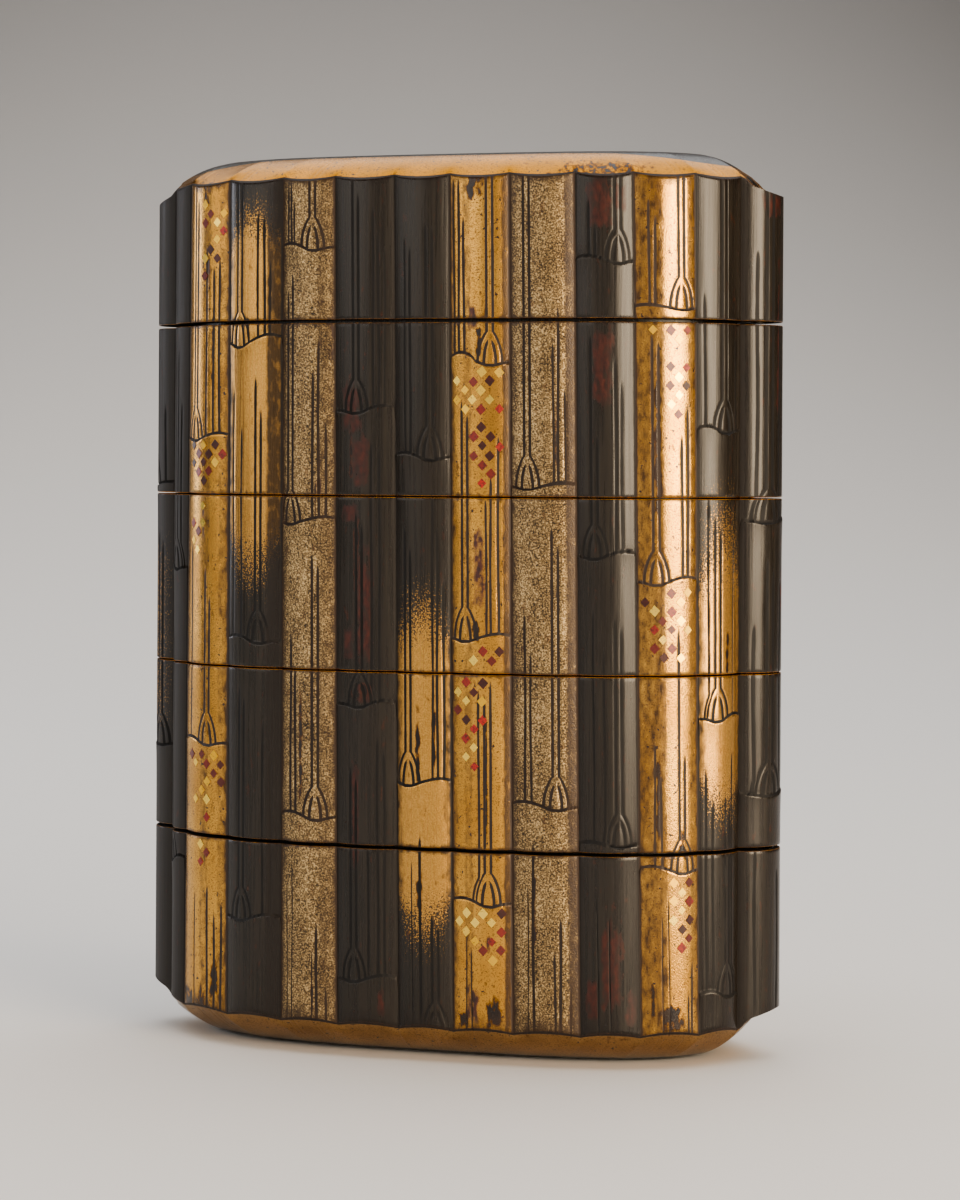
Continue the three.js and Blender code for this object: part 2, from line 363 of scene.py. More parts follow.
stems[4] = Stem(
    "dark",
    [Joint(58.7, 0.38, TOP, 79), Joint(32.1, 0.42, 50, 49), Joint(7.3, 0.31, 27, 26)],
    [(0.66, 77.7), (0.74, 75.4), (0.84, 74.1), (0.62, 56.5), (0.74, 55.8), (0.70, 30), (0.80, 28.6),
     (0.55, 20)],
    red=[(0.30, 62, 56, 0.9), (0.45, 57.4, 51.2, 0.8), (0.28, 50.6, 48.2, 0.8),
         (0.5, 48.5, 34.5, 0.75), (0.25, 40, 35.6, 0.5), (0.35, 28.8, 16.1, 0.35),
         (0.74, 7.0, 3.6, 0.3), (0.5, 34.5, 31.9, 0.7)],
    worn=[(0.38, 50.5, 41, 0.35), (0.5, 34.4, 32.3, 0.6), (0.30, 56.5, 52, 0.2)])
stems[5] = Stem(
    "sprinkled",
    [Joint(54.5, 0.64, 76.2, 75.8), Joint(25.2, 0.24, 48.8, 47.0), Joint(2.8, 0.70, 14, 13)],
    [(0.20, 74.9), (0.31, 74.0), (0.68, 52.4), (0.76, 48.8), (0.87, 44), (0.45, 21), (0.3, 19)],
    gold=[(44.5, 0.0), (37, 0.8), (34, 1.0), (17, 1.0), (8.5, 0.0)],
    worn=[(0.42, 33.0, 23.6, 0.28), (0.44, 17.3, 13.2, 0.45), (0.70, 33.5, 26, 0.22)])
stems[6] = Stem(
    "gold",
    [Joint(63.0, 0.68, TOP, TOP, 0.9, hump=(0.21, 0.23, 0.55)),
     Joint(38.3, 0.26, 60.3, 58.9), Joint(14.6, 0.62, 34, 35)],
    [(0.08, 80), (0.17, 80), (0.26, 76.5), (0.80, 57.0), (0.68, 53.5), (0.61, 51.5), (0.48, 34.5),
     (0.35, 11.2), (0.26, 12.5)],
    red=[(0.40, 69, 65.5, 0.6), (0.5, 50, 40, 0.8), (0.35, 8, 3.4, 1.0), (0.62, 12, 10, 0.3)],
    worn=[(0.43, 81.8, 77.2, 1.0), (0.50, 66.6, 63.3, 0.42), (0.62, 70, 66.6, 0.15),
          (0.44, 40.2, 37.8, 0.5), (0.60, 33.8, 19.5, 0.16), (0.7, 6.5, 3.2, 0.9),
          (0.2, 5.0, 3.2, 0.8)],
    brown=[(0.27, 0.36, 0.5), (0.9, 1.0, 1.0)])
# The brown strip on its right flank is painted shade, where the flank turns away from the key light.
stems[7] = Stem(
    "nashiji",
    [Joint(51.9, 0.27, TOP, TOP), Joint(23.4, 0.67, 48.9, 47.3)],
    [(0.66, 65.8), (0.73, 68.5), (0.83, 61.4), (0.22, 41.3), (0.31, 38), (0.25, 17), (0.33, 20.7),
     (0.64, 11.3), (0.72, 14.2), (0.87, 8.4)],
    worn=[(0.35, 18.8, 10.2, 0.2), (0.70, 60, 53, 0.1)], brown=[(0.86, 1.0, 0.95)])
stems[8] = Stem(
    "dark",
    [Joint(72.1, 0.72, TOP, TOP), Joint(45.8, 0.30, 66, 57), Joint(20.1, 0.67, 41, 40)],
    [(0.24, 78), (0.33, 76), (0.66, 64), (0.76, 62), (0.27, 41.8), (0.44, 38.3), (0.3, 16),
     (0.5, 14.5)],
    red=[(0.42, 81, 74.3, 1.0), (0.78, 79.5, 76, 0.5), (0.45, 67.5, 58.2, 0.9),
         (0.52, 15.6, 4.2, 0.8), (0.2, 9, 4, 0.5), (0.85, 8, 3.5, 0.5)],
    worn=[(0.62, 80.2, 78.2, 0.6)])
stems[9] = Stem(
    "gold",
    [Joint(67.9, 0.74, TOP, TOP, 0.7), Joint(43.5, 0.31, 66, 65.5), Joint(17.8, 0.70, 40, 28.7)],
    [(0.23, 78.1), (0.32, 76.7), (0.73, 57.1), (0.83, 59.7), (0.26, 30), (0.36, 27),
     (0.36, 14.5), (0.46, 16), (0.78, 7.5), (0.86, 10.4)],
    red=[(0.3, 60, 50, 0.2), (0.33, 28, 20, 0.25)],
    worn=[(0.35, 66.2, 47.0, 0.36), (0.32, 30.0, 19.6, 0.26), (0.70, 22, 19, 0.35),
          (0.5, 6.2, 3.2, 1.5), (0.2, 9, 4, 0.3)],
    brown=[(0.0, 0.42, 0.7), (0.86, 1.0, 0.6)])
stems[10] = Stem(
    "sprinkled",
    [Joint(57.0, 0.54, TOP, TOP), Joint(31.2, 0.39, 50, 49), Joint(6.5, 0.6, 25, 24)],
    [(0.15, 70), (0.80, 66), (0.2, 52), (0.75, 48), (0.14, 27.5), (0.28, 24.4), (0.72, 29.1)],
    gold=[(54, 0.0), (46, 0.55), (40, 0.9), (28, 1.0), (19.5, 0.0)],
    worn=[(0.6, 40, 34, 0.2)])
stems[RIGHT_RUNNER] = Stem(
    "sprinkled",
    [Joint(49.0, 0.28, TOP, TOP), Joint(24.3, 0.30, 46, 45)],
    [(0.15, 74), (0.42, 70), (0.45, 44), (0.13, 40), (0.15, 20), (0.42, 18)],
    gold=[(3, 0.0), (0, 0.6)],
    red=[(0.32, 80, 76, 1.4), (0.40, 76, 56, 0.25), (0.5, 46, 40, 0.3)])
stems[LEFT_RUNNER] = Stem(
    "sprinkled",
    [Joint(52.0, 0.6, TOP, TOP), Joint(27.2, 0.78, 48, 47)],
    [(0.3, 70), (0.85, 60), (0.65, 40), (0.4, 20)],
    gold=[(48, 0.0), (44, 0.42), (31, 0.42), (26.5, 0.0)])
print(len(stems), "stems are set out by hand")

# %% Stems of the back
# The back carries the same bamboo, plainer: fewer furrows, hardly any wear, the same finishes.
JOINT_SPACING = 26.5
BACK_FINISHES = ["dark", "gold", "sprinkled", "nashiji", "dark", "gold", "nashiji", "sprinkled",
                 "dark", "nashiji", "dark"]
chance = random.Random(7)
for k, finish in enumerate(BACK_FINISHES):
    first = 76 - 27 * ((0.37 * k + 0.2) % 1)
    joints = []
    for number, height in enumerate(np.arange(first, 4, -JOINT_SPACING)):
        bud = 0.28 if (number + k) % 2 else 0.68
        above = min(TOP, height + 23.5)
        joints.append(Joint(height, bud, above, above - chance.uniform(0.5, 2.5)))
    furrows = []
    for joint in joints:
        far = 0.72 if joint.bud < 0.5 else 0.24
        furrows += [(far, joint.height + chance.uniform(8, 18)),
                    (far + 0.1, joint.height + chance.uniform(6, 14))]
    middle = chance.uniform(30, 56)
    gold = {"sprinkled": [(middle + 15, 0.0), (middle + 10, 1.0), (middle - 10, 1.0),
                          (middle - 15, 0.0)]}.get(finish, ())
    stems[STEMS + 1 + k] = Stem(finish, joints, furrows, gold)
print(len(stems), "stems in all")

# %% [markdown]
# ## From furrows to a mesh
# A lacquerer cuts the furrows with a fine blade, about 0.3 mm wide and under 0.1 mm deep. To
# carry them, each section's wall is a fine grid whose columns run along the furrows, three to
# each, and whose rows close up at the joints. Between them the grid stays coarse.

# %% Sizes of the carving
LINE_HALF, LINE_DEPTH = 0.17, 0.07
BUD_HEIGHT, BUD_HALF, PAIR_HALF = 2.7, 1.08, 0.27
ARCH_DROP, ARCH_HALF = 0.45, 0.52
TIP_HALF = 0.03           # half width of the arch at its tip
FURROW_GAP = 0.24         # least distance from a furrow to the lines of the bud
FURROW_FADE = 2.2         # height over which the top end of a furrow runs out
JOINT_PULL = 2.6          # how far above and below a joint the rows follow its wavy line
BEND_HEIGHT = 0.8         # below a joint, where the columns move over to the next furrows
GROOVE_STRIP = 0.02       # the first strip beside a groove, as a share of the stem's width
LEAST_STEP = 0.0015       # least distance of two columns, as a share of the stem's width
LIP, RIM_INWARD = 0.09, 0.12         # rounding of the sections' edges, and the row beyond it
LIP_ROWS = 3
COLUMNS = {"front": 40, "runner": 36, "back": 30}
ROWS = 62
JOINT_WEIGHT = 2.2        # how much closer the rows lie about a joint and its bud
END_CLEAR = 0.05          # least distance of such a row from the end of a section
SAME = 1e-6               # heights or places nearer than this are the same


def columns_of(rib):
    if rib in (RIGHT_RUNNER, LEFT_RUNNER):
        return COLUMNS["runner"]
    return COLUMNS["front" if rib < STEMS else "back"]


def fill_counts(gaps, weights, count):
    """Shares count extra points among the gaps, always to the widest one."""
    counts = np.zeros(len(gaps), int)
    for _ in range(count):
        counts[np.argmax(np.array(gaps) * weights / (counts + 1))] += 1
    return counts


def spread(knots, counts):
    """The knots (along the last axis) with counts[i] even points put between i and i + 1."""
    gap = np.concatenate([np.full(n + 1, i) for i, n in enumerate(counts)] + [[len(counts) - 1]])
    part = np.concatenate([np.arange(n + 1) / (n + 1) for n in counts] + [[1.0]])
    return knots[..., gap] * (1 - part) + knots[..., gap + 1] * part


# %% Furrows between two joints
class Internode:
    """The stretch of a stem between two joints, with the furrows that end at the lower one.

    A track is one furrow: (place, side of the bud, kind, start height). Its kind is line for a
    free furrow, outer for one of the pair around the bud and arch for one inside them."""

    def __init__(self, stem, width, columns, high, joint, low):
        self.high, self.low, self.joint, self.width = high, low, joint, width
        inside = [(u, z) for u, z in stem.furrows if low < z <= high]
        self.tracks = [(place, 0, "line", start) for place, start in inside]
        if joint:
            self.tracks += [(joint.bud, -1, "outer", joint.pair[-1]), (joint.bud, -1, "arch", 0),
                            (joint.bud, 1, "arch", 0), (joint.bud, 1, "outer", joint.pair[1])]
            order = {(-1, "outer"): -2, (-1, "arch"): -1, (1, "arch"): 1, (1, "outer"): 2}
            self.tracks.sort(key=lambda t: (t[0], order.get(t[1:3], 0)))
        else:
            self.tracks.sort()
        centres = 3 + 3 * np.arange(len(self.tracks))    # after the groove and its strip
        just_above_bud = np.array([low + BUD_HEIGHT + 0.5])
        reference = self.knots(just_above_bud)[0]
        weights = np.ones(len(reference) - 1)
        weights[0] = 0
        self.counts = fill_counts(np.diff(reference), weights, columns - len(reference))
        shifts = np.concatenate([[0], np.cumsum(self.counts)])
        self.centre_columns = centres + shifts[centres]

    def bud_halves(self, z):
        """Half widths of the two bud lines and of the arch inside them."""
        part = np.clip((self.low + BUD_HEIGHT - z) / BUD_HEIGHT, 0, 1)
        outer = PAIR_HALF + (BUD_HALF - PAIR_HALF) * np.sin(np.pi / 2 * part ** 0.8)
        arch_height = BUD_HEIGHT - ARCH_DROP
        part = np.clip((self.low + arch_height - z) / arch_height, 0, 1)
        arch = TIP_HALF + (ARCH_HALF - TIP_HALF) * np.sin(np.pi / 2 * part ** 0.75)
        return outer, arch, ease(part * 4)

    def knots(self, z):
        """Columns that matter at heights z: the groove, its strip and three to each furrow."""
        outer, arch, arch_open = self.bud_halves(z)
        columns = [np.zeros_like(z), np.full_like(z, GROOVE_STRIP)]
        for place, side, kind, _ in self.tracks:
            half = np.full_like(z, LINE_HALF)
            if kind == "line":
                path = place + 0.006 * np.sin(0.35 * z + 40 * place)
                beside_bud = (outer + FURROW_GAP) / self.width
                if self.joint and place > self.joint.bud:
                    path = np.maximum(path, self.joint.bud + beside_bud)
                elif self.joint:
                    path = np.minimum(path, self.joint.bud - beside_bud)
            elif kind == "outer":
                path = place + side * outer / self.width
            else:
                path = place + side * arch / self.width
                half = 0.01 + (LINE_HALF - 0.01) * arch_open
            columns += [path - half / self.width, path, path + half / self.width]
        columns.append(np.full_like(z, 1 - GROOVE_STRIP))
        knots = np.stack(columns, axis=-1)
        step = LEAST_STEP * np.arange(knots.shape[-1])
        knots = np.maximum.accumulate(knots - step, axis=-1) + step
        return np.minimum(knots, 1 - GROOVE_STRIP - step[::-1])

    def places(self, z):
        return spread(self.knots(z), self.counts)

    def cut(self, z):
        """How deep each furrow is cut at heights z, from 0 to 1, one column per furrow."""
        _, _, arch_open = self.bud_halves(z)
        shares = []
        for place, _, kind, start in self.tracks:
            if kind == "arch":
                shares.append(arch_open)
            else:
                begins = min(start, self.high - BEND_HEIGHT) if self.high < TOP else start
                strength = 0.80 + 0.20 * math.sin(97 * place + begins)
                uneven = 0.88 + 0.12 * np.sin(1.3 * z + 60 * place)
                if kind == "outer":
                    strength = 0.9
                shares.append(ease((begins - z) / FURROW_FADE) * uneven * strength)
        return np.stack(shares, axis=-1) if shares else np.zeros((len(z), 0))


def internodes_of(rib):
    stem = stems[rib]
    joints = stem.joints
    highs = [total_height + 1] + [joint.height for joint in joints]
    lows = [joint.height for joint in joints] + [-4.0]
    return [Internode(stem, mean_width[rib], columns_of(rib), high, joint, low)
            for high, joint, low in zip(highs, joints + [None], lows)]


internodes = {rib: internodes_of(rib) for rib in range(RIBS)}
print("furrows:", sum(len(part.tracks) for parts in internodes.values() for part in parts))

# %% Rows of one stem within one section
def row_heights(rib, low, high):
    """Heights of the rows of a stem, closed up at its joints, always ROWS of them."""
    knots, fine = [low, high], []
    for joint in stems[rib].joints:
        for offset in (-BEND_HEIGHT, -LINE_HALF, 0.0, LINE_HALF, BUD_HEIGHT):
            if low + END_CLEAR < joint.height + offset < high - END_CLEAR:
                knots.append(joint.height + offset)
        fine += [(joint.height - BEND_HEIGHT, joint.height + BUD_HEIGHT)]
    knots = np.array(sorted(knots))
    middles, gaps = (knots[1:] + knots[:-1]) / 2, np.diff(knots)
    weights = np.array([JOINT_WEIGHT if any(a < z < b for a, b in fine) else 1.0
                        for z in middles])
    weights[gaps < LINE_HALF * 1.01] = 0
    return spread(knots, fill_counts(gaps, weights, ROWS - len(knots)))


def joint_shift(stem, u, heights, low, high):
    """Moves the rows near a joint up or down to follow its wavy line; nothing at the ends."""
    shift = np.zeros_like(u)
    for joint in stem.joints:
        tent = np.clip(1 - np.abs(heights - joint.height) / JOINT_PULL, 0, 1)
        shift += joint.wave(u) * tent[:, None]
    ends = np.clip(np.minimum(heights - low, high - heights), 0, 1)
    return shift * ends[:, None]


def lay_out(rib, low, high):
    """Places u, heights and cut depth of the grid of one stem between two heights."""
    stem, parts = stems[rib], internodes[rib]
    heights = row_heights(rib, low, high)
    u = np.zeros((ROWS, columns_of(rib)))
    cut = np.zeros_like(u)
    for above, part in zip([None] + parts[:-1], parts):
        chosen = heights >= part.low - SAME
        if above:
            chosen &= heights < part.high - SAME
        rows = np.where(chosen)[0]
        if not len(rows):
            continue
        z = heights[rows]
        u[rows] = part.places(z)
        if above:
            share = ease((part.high - z) / BEND_HEIGHT)[:, None]
            last = above.places(np.array([part.high]))
            u[rows] = last * (1 - share) + u[rows] * share
        cut[np.ix_(rows, part.centre_columns)] = part.cut(z)
    for joint in stem.joints:
        row = np.abs(heights - joint.height) < SAME
        cut[row] = np.maximum(cut[row], ease(np.minimum(u[row], 1 - u[row]) / 0.05))
    z = heights[:, None] + joint_shift(stem, u, heights, low, high)
    return u, z, cut, heights


# %% [markdown]
# ## Where the gold, the wear and the red lie
# Each finish is a value from 0 to 1 at the points of the wall, kept as an attribute. The
# materials break its edges up with fine grain, so a gradient turns into sprinkled powder.

# %% Finish values
MARGIN = 1.0              # how far from a groove its grime and painted shade reach
RIM_GRIME_AND_SHADE = 0.3           # the same at the seams, then at the foot's edge and the shoulder's
FOOT_GRIME_AND_SHADE, HEAD_GRIME_AND_SHADE = 2.0, 1.0
SWELL, SWELL_REACH = 0.07, 1.3       # under a joint
PINCH, PINCH_REACH = 0.035, 0.6      # above it


def gold_cover(stem, z):
    """How much sprinkled gold lies at heights z, between the heights that the stem gives."""
    heights = [height for height, _ in stem.gold][::-1]
    covers = [cover for _, cover in stem.gold][::-1]
    return np.interp(z, heights, covers)


def patches(spots, u, z, width):
    """Soft-edged upright patches: 1 inside, fading out over a fraction of a millimetre."""
    value = np.zeros_like(z)
    for place, top, bottom, half in spots:
        across = 1 - np.abs(u - place) * width / half
        along = np.minimum((top - z) / (0.35 * (top - bottom)), (z - bottom) / (0.2 * (top - bottom)))
        value = np.maximum(value, ease(across * 1.4) * ease(along))
    return value


def relief(stem, u, z):
    """The slight swelling under each joint and the pinch above it."""
    height = np.zeros_like(z)
    for joint in stem.joints:
        above = z - joint.height - joint.wave(u)
        height += np.where(above < 0, SWELL * np.exp(above / SWELL_REACH),
                           -PINCH * np.exp(-above / PINCH_REACH))
    return height


# %% [markdown]
# ## Domes
# The top of the lid and the underside of the base are low domes, and the stems run out where
# these cut them. That gives the scalloped line between the stems and the plain gold shoulder.

# %% Dome sizes, as the solids have them
SHOULDER_REACH, SHOULDER_POWER = 6.0, 2.2
LID_SHOULDER, BASE_SHOULDER = 2.8, 3.45
GROOVE_FOLLOW, RUNNER_STEP, RUNNER_SLOPE = 0.5, 0.3, 0.35
DOME_INSETS = [0.1, 0.3, 0.6, 1.0, 1.4, 1.8, 2.2, 2.6, 3.0, 3.4, 3.8, 4.4, 5.1, SHOULDER_REACH]
BLEND_INSET = 1.0         # up to here the rings still follow the scalloped edge
EDGE_BEND = 5.0           # height over which the rows of a wall take up the scallops
GOLD_TO_INSET = 3.6       # how far up the shoulder the gold band reaches
CORNER_X, CORNER_SPAN = 14.0, 13.0   # where the lid's band begins to narrow, and over how much
CORNER_LOSS = 2.0                    # how much narrower it is at the ends
RUBBED_X, RUBBED_HALF = 16.0, 4.5    # the rubbed stretch of the band, over the front


def dome_rise(inset, drop, runner):
    """Height of a dome above its edge, in from the edge by inset; a runner stands a step lower."""
    arched = drop * (1 - (1 - np.clip(inset, 0, None) / SHOULDER_REACH) ** SHOULDER_POWER)
    step = RUNNER_STEP * ease((0.35 - inset) / 0.7) * runner
    return np.where(inset < 0, RUNNER_SLOPE * inset, arched) - step


def edge_inset(depth):
    """How far along its profile a dome starts at a point that lies depth behind the crests."""
    return np.where(depth > 0, depth * GROOVE_FOLLOW, depth)


# %% The grid of a section's wall
def neighbour_mean(values, starts):
    """Gives each groove column the mean of what the ribs on its two sides would give it."""
    merged = values.copy()
    last_columns = np.roll(starts, -1) - 1
    merged[:, starts] = (values[:, starts] + np.roll(values[:, last_columns], 1, axis=1)) / 2
    return merged


class Wall:
    """The outside of one section as a grid: each column belongs to a rib, each row goes round.

    rows holds what the mesh is made from, lowest row first: x, y, z and the finish values."""

    def __init__(self, index):
        self.index, self.low, self.high = index, wall_low[index], wall_high[index]
        self.is_base, self.is_lid = index == 0, index == len(SECTIONS) - 1
        self.crest_low = self.low + (BASE_SHOULDER if self.is_base else 0)
        self.crest_high = self.high - (LID_SHOULDER if self.is_lid else 0)
        self.main_low = self.crest_low + (0 if self.is_base else LIP)
        self.main_high = self.crest_high - (0 if self.is_lid else LIP)
        grids = [lay_out(rib, self.main_low, self.main_high) for rib in range(RIBS)]
        widths = [grid[0].shape[1] for grid in grids]
        self.rib = np.repeat(np.arange(RIBS), widths)
        self.runner = np.isin(self.rib, (RIGHT_RUNNER, LEFT_RUNNER)).astype(float)
        self.starts = np.searchsorted(self.rib, np.arange(RIBS))
        self.u, z, self.cut = (np.concatenate(parts, axis=1) for parts in list(zip(*grids))[:3])
        heights = np.repeat(np.stack([grid[3] for grid in grids], axis=1), widths, axis=1)
        self.z = neighbour_mean(z, self.starts)
        self.heights = neighbour_mean(heights, self.starts)
        self.rows = {}

    def add_rows(self, at_start, point, z, **values):
        """Adds rows below or above, given from the wall outwards. What isn't given stays as it
        is in the row beside them."""
        values.update(x=point[..., 0], y=point[..., 1], z=z)
        for name, rows in self.rows.items():
            beside = rows[[0 if at_start else -1] * len(z)]
            new = values.get(name, beside)
            self.rows[name] = np.concatenate([new[::-1], rows] if at_start else [rows, new])


# %% Points of the wall
def place_points(wall):
    """Lays the grid onto the surface between the outlines of its two ends. Where a dome cuts
    the stems, the rows near it take up its scallops."""
    point_low, normal_low, depth_low, angle_low = outlines[wall.low].at(wall.rib, wall.u)
    point_high, normal_high, depth_high, angle_high = outlines[wall.high].at(wall.rib, wall.u)
    span_low, span_high = wall.crest_low, wall.crest_high
    if wall.is_lid:
        edge = dome_rise(edge_inset(depth_high), LID_SHOULDER, wall.runner)
        above = wall.heights - (wall.main_high - EDGE_BEND)
        wall.z += edge * np.clip(above / EDGE_BEND, 0, 1)
        span_high = wall.crest_high + edge
    if wall.is_base:
        edge = dome_rise(edge_inset(depth_low), BASE_SHOULDER, wall.runner)
        below = wall.main_low + EDGE_BEND - wall.heights
        wall.z -= edge * np.clip(below / EDGE_BEND, 0, 1)
        span_low = wall.crest_low - edge
    share = ((wall.z - span_low) / (span_high - span_low))[..., None]
    wall.point = point_low * (1 - share) + point_high * share
    normal = normal_low * (1 - share) + normal_high * share
    normal = np.stack([neighbour_mean(normal[..., axis], wall.starts) for axis in (0, 1)], axis=-1)
    wall.normal = normal / np.linalg.norm(normal, axis=-1, keepdims=True)
    wall.ends = {True: (depth_low[0], angle_low[0]), False: (depth_high[-1], angle_high[-1])}


# %% Carving and finish of the wall
def carve_and_finish(wall):
    """Cuts the furrows, swells the joints and fills in the finish values, stem by stem."""
    u, z, cut = wall.u, wall.z, wall.cut
    gold, red, worn, margin, raised = (np.zeros_like(z) for _ in range(5))
    for number in range(RIBS):
        stem, cols = stems[number], wall.rib == number
        part_u, part_z, width = u[:, cols], z[:, cols], mean_width[number]
        cover = gold_cover(stem, part_z)
        gold[:, cols] = cover - 0.45 * (1 - np.abs(2 * cover - 1)) * (2 * part_u - 1) ** 2
        wider = 0.6 if stem.finish == "dark" else 1.0
        red[:, cols] = 0.9 * patches(stem.red, part_u, part_z, width * wider)
        worn[:, cols] = patches(stem.worn, part_u, part_z, width)
        raised[:, cols] = relief(stem, part_u, part_z)
        # darker towards each groove: grime, and painted shade in the groove's crease
        margin[:, cols] = np.clip(1 - np.minimum(part_u, 1 - part_u) * width / MARGIN, 0, 1)
        for start, stop, amount in stem.brown:
            strip = amount * ease(np.minimum(part_u - start, stop - part_u) / 0.06 + 1)
            margin[:, cols] = np.maximum(margin[:, cols], strip)
    # darker near the foot, under the lid's shoulder and at the seams: grime with painted shade
    foot_grime_and_shade = 1 - (wall.heights - wall.main_low) / (FOOT_GRIME_AND_SHADE if wall.is_base else RIM_GRIME_AND_SHADE)
    head_grime_and_shade = 1 - (wall.main_high - wall.heights) / (HEAD_GRIME_AND_SHADE if wall.is_lid else RIM_GRIME_AND_SHADE)
    margin = np.maximum(margin, 0.85 * np.clip(np.maximum(foot_grime_and_shade, head_grime_and_shade), 0, 1))
    from_groove = np.minimum(u, 1 - u)
    groove = from_groove < GROOVE_STRIP / 2
    beside_groove = np.abs(from_groove - GROOVE_STRIP) < SAME
    ink = np.where(groove, 1.0, cut)
    ink = np.where(beside_groove, np.maximum(ink, 0.3), ink)
    raised[groove] = 0
    wall.point = wall.point + wall.normal * (raised - LINE_DEPTH * cut * (~groove))[..., None]
    wall.rows = {"x": wall.point[..., 0], "y": wall.point[..., 1], "z": z, "gold": gold,
                 "red": red, "worn": worn, "ink": ink, "margin": margin}


# %% Rounded edges at the seams
def add_lip(wall, at_start):
    """The rounded edge, then one row on the flat rim, which is dark and not gold. The seams
    under the lid and over the base stand open, and there more of the gold is rubbed off and
    the lip is darker with grime and painted shade of the open gap."""
    row, end, inside = (0, wall.low, 1) if at_start else (-1, wall.high, -1)
    turns = np.radians([45, 90, 90])[:, None]
    on_rim = np.array([0, 0, 1.0])[:, None]
    inward = LIP * (1 - np.cos(turns)) + RIM_INWARD * on_rim
    z = end + inside * LIP * (1 - np.sin(turns)) + 0 * wall.z[row]
    point = wall.point[row] - wall.normal[row] * inward[..., None]
    seam = wall.index if at_start else wall.index + 1
    stands_open = seam in (1, len(SECTIONS) - 1)
    # At the open seams the lip is darker: rubbed gold, and grime with painted shade of the gap.
    cut_away, grime_and_shade_dark, chips = (0.2, 0.6, 0.3) if stands_open else (0.0, 0.0, 0.15)
    on_rim = on_rim + 0 * z
    wall.add_rows(at_start, point, z, ink=np.maximum(on_rim, cut_away), gold=1 - on_rim,
                  margin=grime_and_shade_dark + 0 * z, worn=chips * (1 - on_rim))


# %% Shoulder and foot
def add_dome(wall, at_start):
    """The rings of a dome, from the scalloped edge to the flat. On the lid the gold band
    narrows towards the ends and is rubbed over a short stretch of the front."""
    row = 0 if at_start else -1
    drop = BASE_SHOULDER if at_start else LID_SHOULDER
    depth, angle = wall.ends[at_start]
    inner = curve_point(angle, (SHOULDER_REACH, SHOULDER_REACH))
    from_inset = edge_inset(depth)
    insets = np.array(DOME_INSETS)[:, None]
    early = np.clip(insets / BLEND_INSET, 0, 1)
    place = np.where(insets < BLEND_INSET, depth + (BLEND_INSET - depth) * early, insets)
    level = np.where(insets < BLEND_INSET, from_inset + (BLEND_INSET - from_inset) * early,
                     insets)
    share = ((place - depth) / (SHOULDER_REACH - depth))[..., None]
    point = wall.point[row] * (1 - share) + inner * share
    rise = dome_rise(level, drop, wall.runner)
    z = drop - rise if at_start else total_height - drop + rise
    edge_line = np.where(insets < 0.2, 0.9, 0.0) + 0 * z
    x, y = point[..., 0], point[..., 1]
    band, rubbed = np.full_like(x, GOLD_TO_INSET), np.zeros_like(x)
    if not at_start:
        band = band - CORNER_LOSS * ease((np.abs(x) - CORNER_X) / CORNER_SPAN)
        rubbed = 0.62 * ease(1.4 - np.abs(x - RUBBED_X) / RUBBED_HALF)
        rubbed = rubbed * ease(2.2 - insets) * (y < 0)
    to_dark = 0.5 + 0.3 * (band - insets)
    wall.add_rows(at_start, point, z, ink=edge_line, gold=to_dark, margin=0 * z, red=0 * z,
                  worn=rubbed)


# %% The walls of the five sections
def make_wall(index):
    wall = Wall(index)
    place_points(wall)
    carve_and_finish(wall)
    for at_start, is_domed in ((True, wall.is_base), (False, wall.is_lid)):
        if is_domed:
            add_dome(wall, at_start)
        else:
            add_lip(wall, at_start)
    return wall


walls = [make_wall(index) for index in range(len(SECTIONS))]
for name, wall in zip(SECTIONS, walls):
    print(name, "rows and columns of the wall:", wall.rows["z"].shape)

# %% [markdown]
# ## Lacquer finishes
# All of the surface is urushi, the sap of the lacquer tree, in three finishes: roiro, polished
# black that has gone brown with age; kin-ji, a ground of fine gold powder; and nashiji, coarser
# flakes floating in clear lacquer like the skin of a pear. They share one build: the ground's
# colour first, then red-brown under-lacquer where it is rubbed through, then the dark furrows.

# %% Shared steps of the lacquers
def ramp(tree, value, start, end, to_low=0.0, to_high=1.0):
    """A clamped ramp of a value, as a 0 to 1 mask unless other ends are given."""
    return add(tree, "MapRange", {"Value": value, "From Min": start, "From Max": end,
                                  "To Min": to_low, "To Max": to_high}).outputs[0]


def mix(tree, share, a, b):
    """Mixes two colours, given as hex values or sockets."""
    inputs = {0: share, 6: linear(a) if isinstance(a, str) else a,
              7: linear(b) if isinstance(b, str) else b}
    return add(tree, "Mix", inputs, data_type="RGBA").outputs[2]


def grain(tree, size, detail=2.0, stretch=(1.0, 1.0, 1.0)):
    """Noise whose features are size millimetres, stretched along an axis by a scale below 1."""
    place = add(tree, "TexCoord").outputs["Object"]
    scale = [factor / MM / size for factor in stretch]
    place = add(tree, "Mapping", {"Vector": place, "Scale": scale}).outputs[0]
    return add(tree, "TexNoise", {"Vector": place, "Scale": 1.0, "Detail": detail}).outputs[0]


def spread_noise(tree, size, detail=2.0, stretch=(1.0, 1.0, 1.0)):
    """The same noise with its middle values spread over 0 to 1."""
    return ramp(tree, grain(tree, size, detail, stretch), 0.28, 0.72)


def value_of(tree, name):
    """A finish value of the mesh, as a socket."""
    return add(tree, "Attribute", attribute_name=name).outputs["Fac"]


def sum_of(tree, a, b, factor=1.0):
    """a plus factor times b."""
    return add(tree, "Math", {0: b, 1: factor, 2: a}, operation="MULTIPLY_ADD").outputs[0]


def times(tree, a, b):
    return add(tree, "Math", {0: a, 1: b}, operation="MULTIPLY").outputs[0]


def inverse(tree, a):
    return add(tree, "Math", {0: 1.0, 1: a}, operation="SUBTRACT").outputs[0]


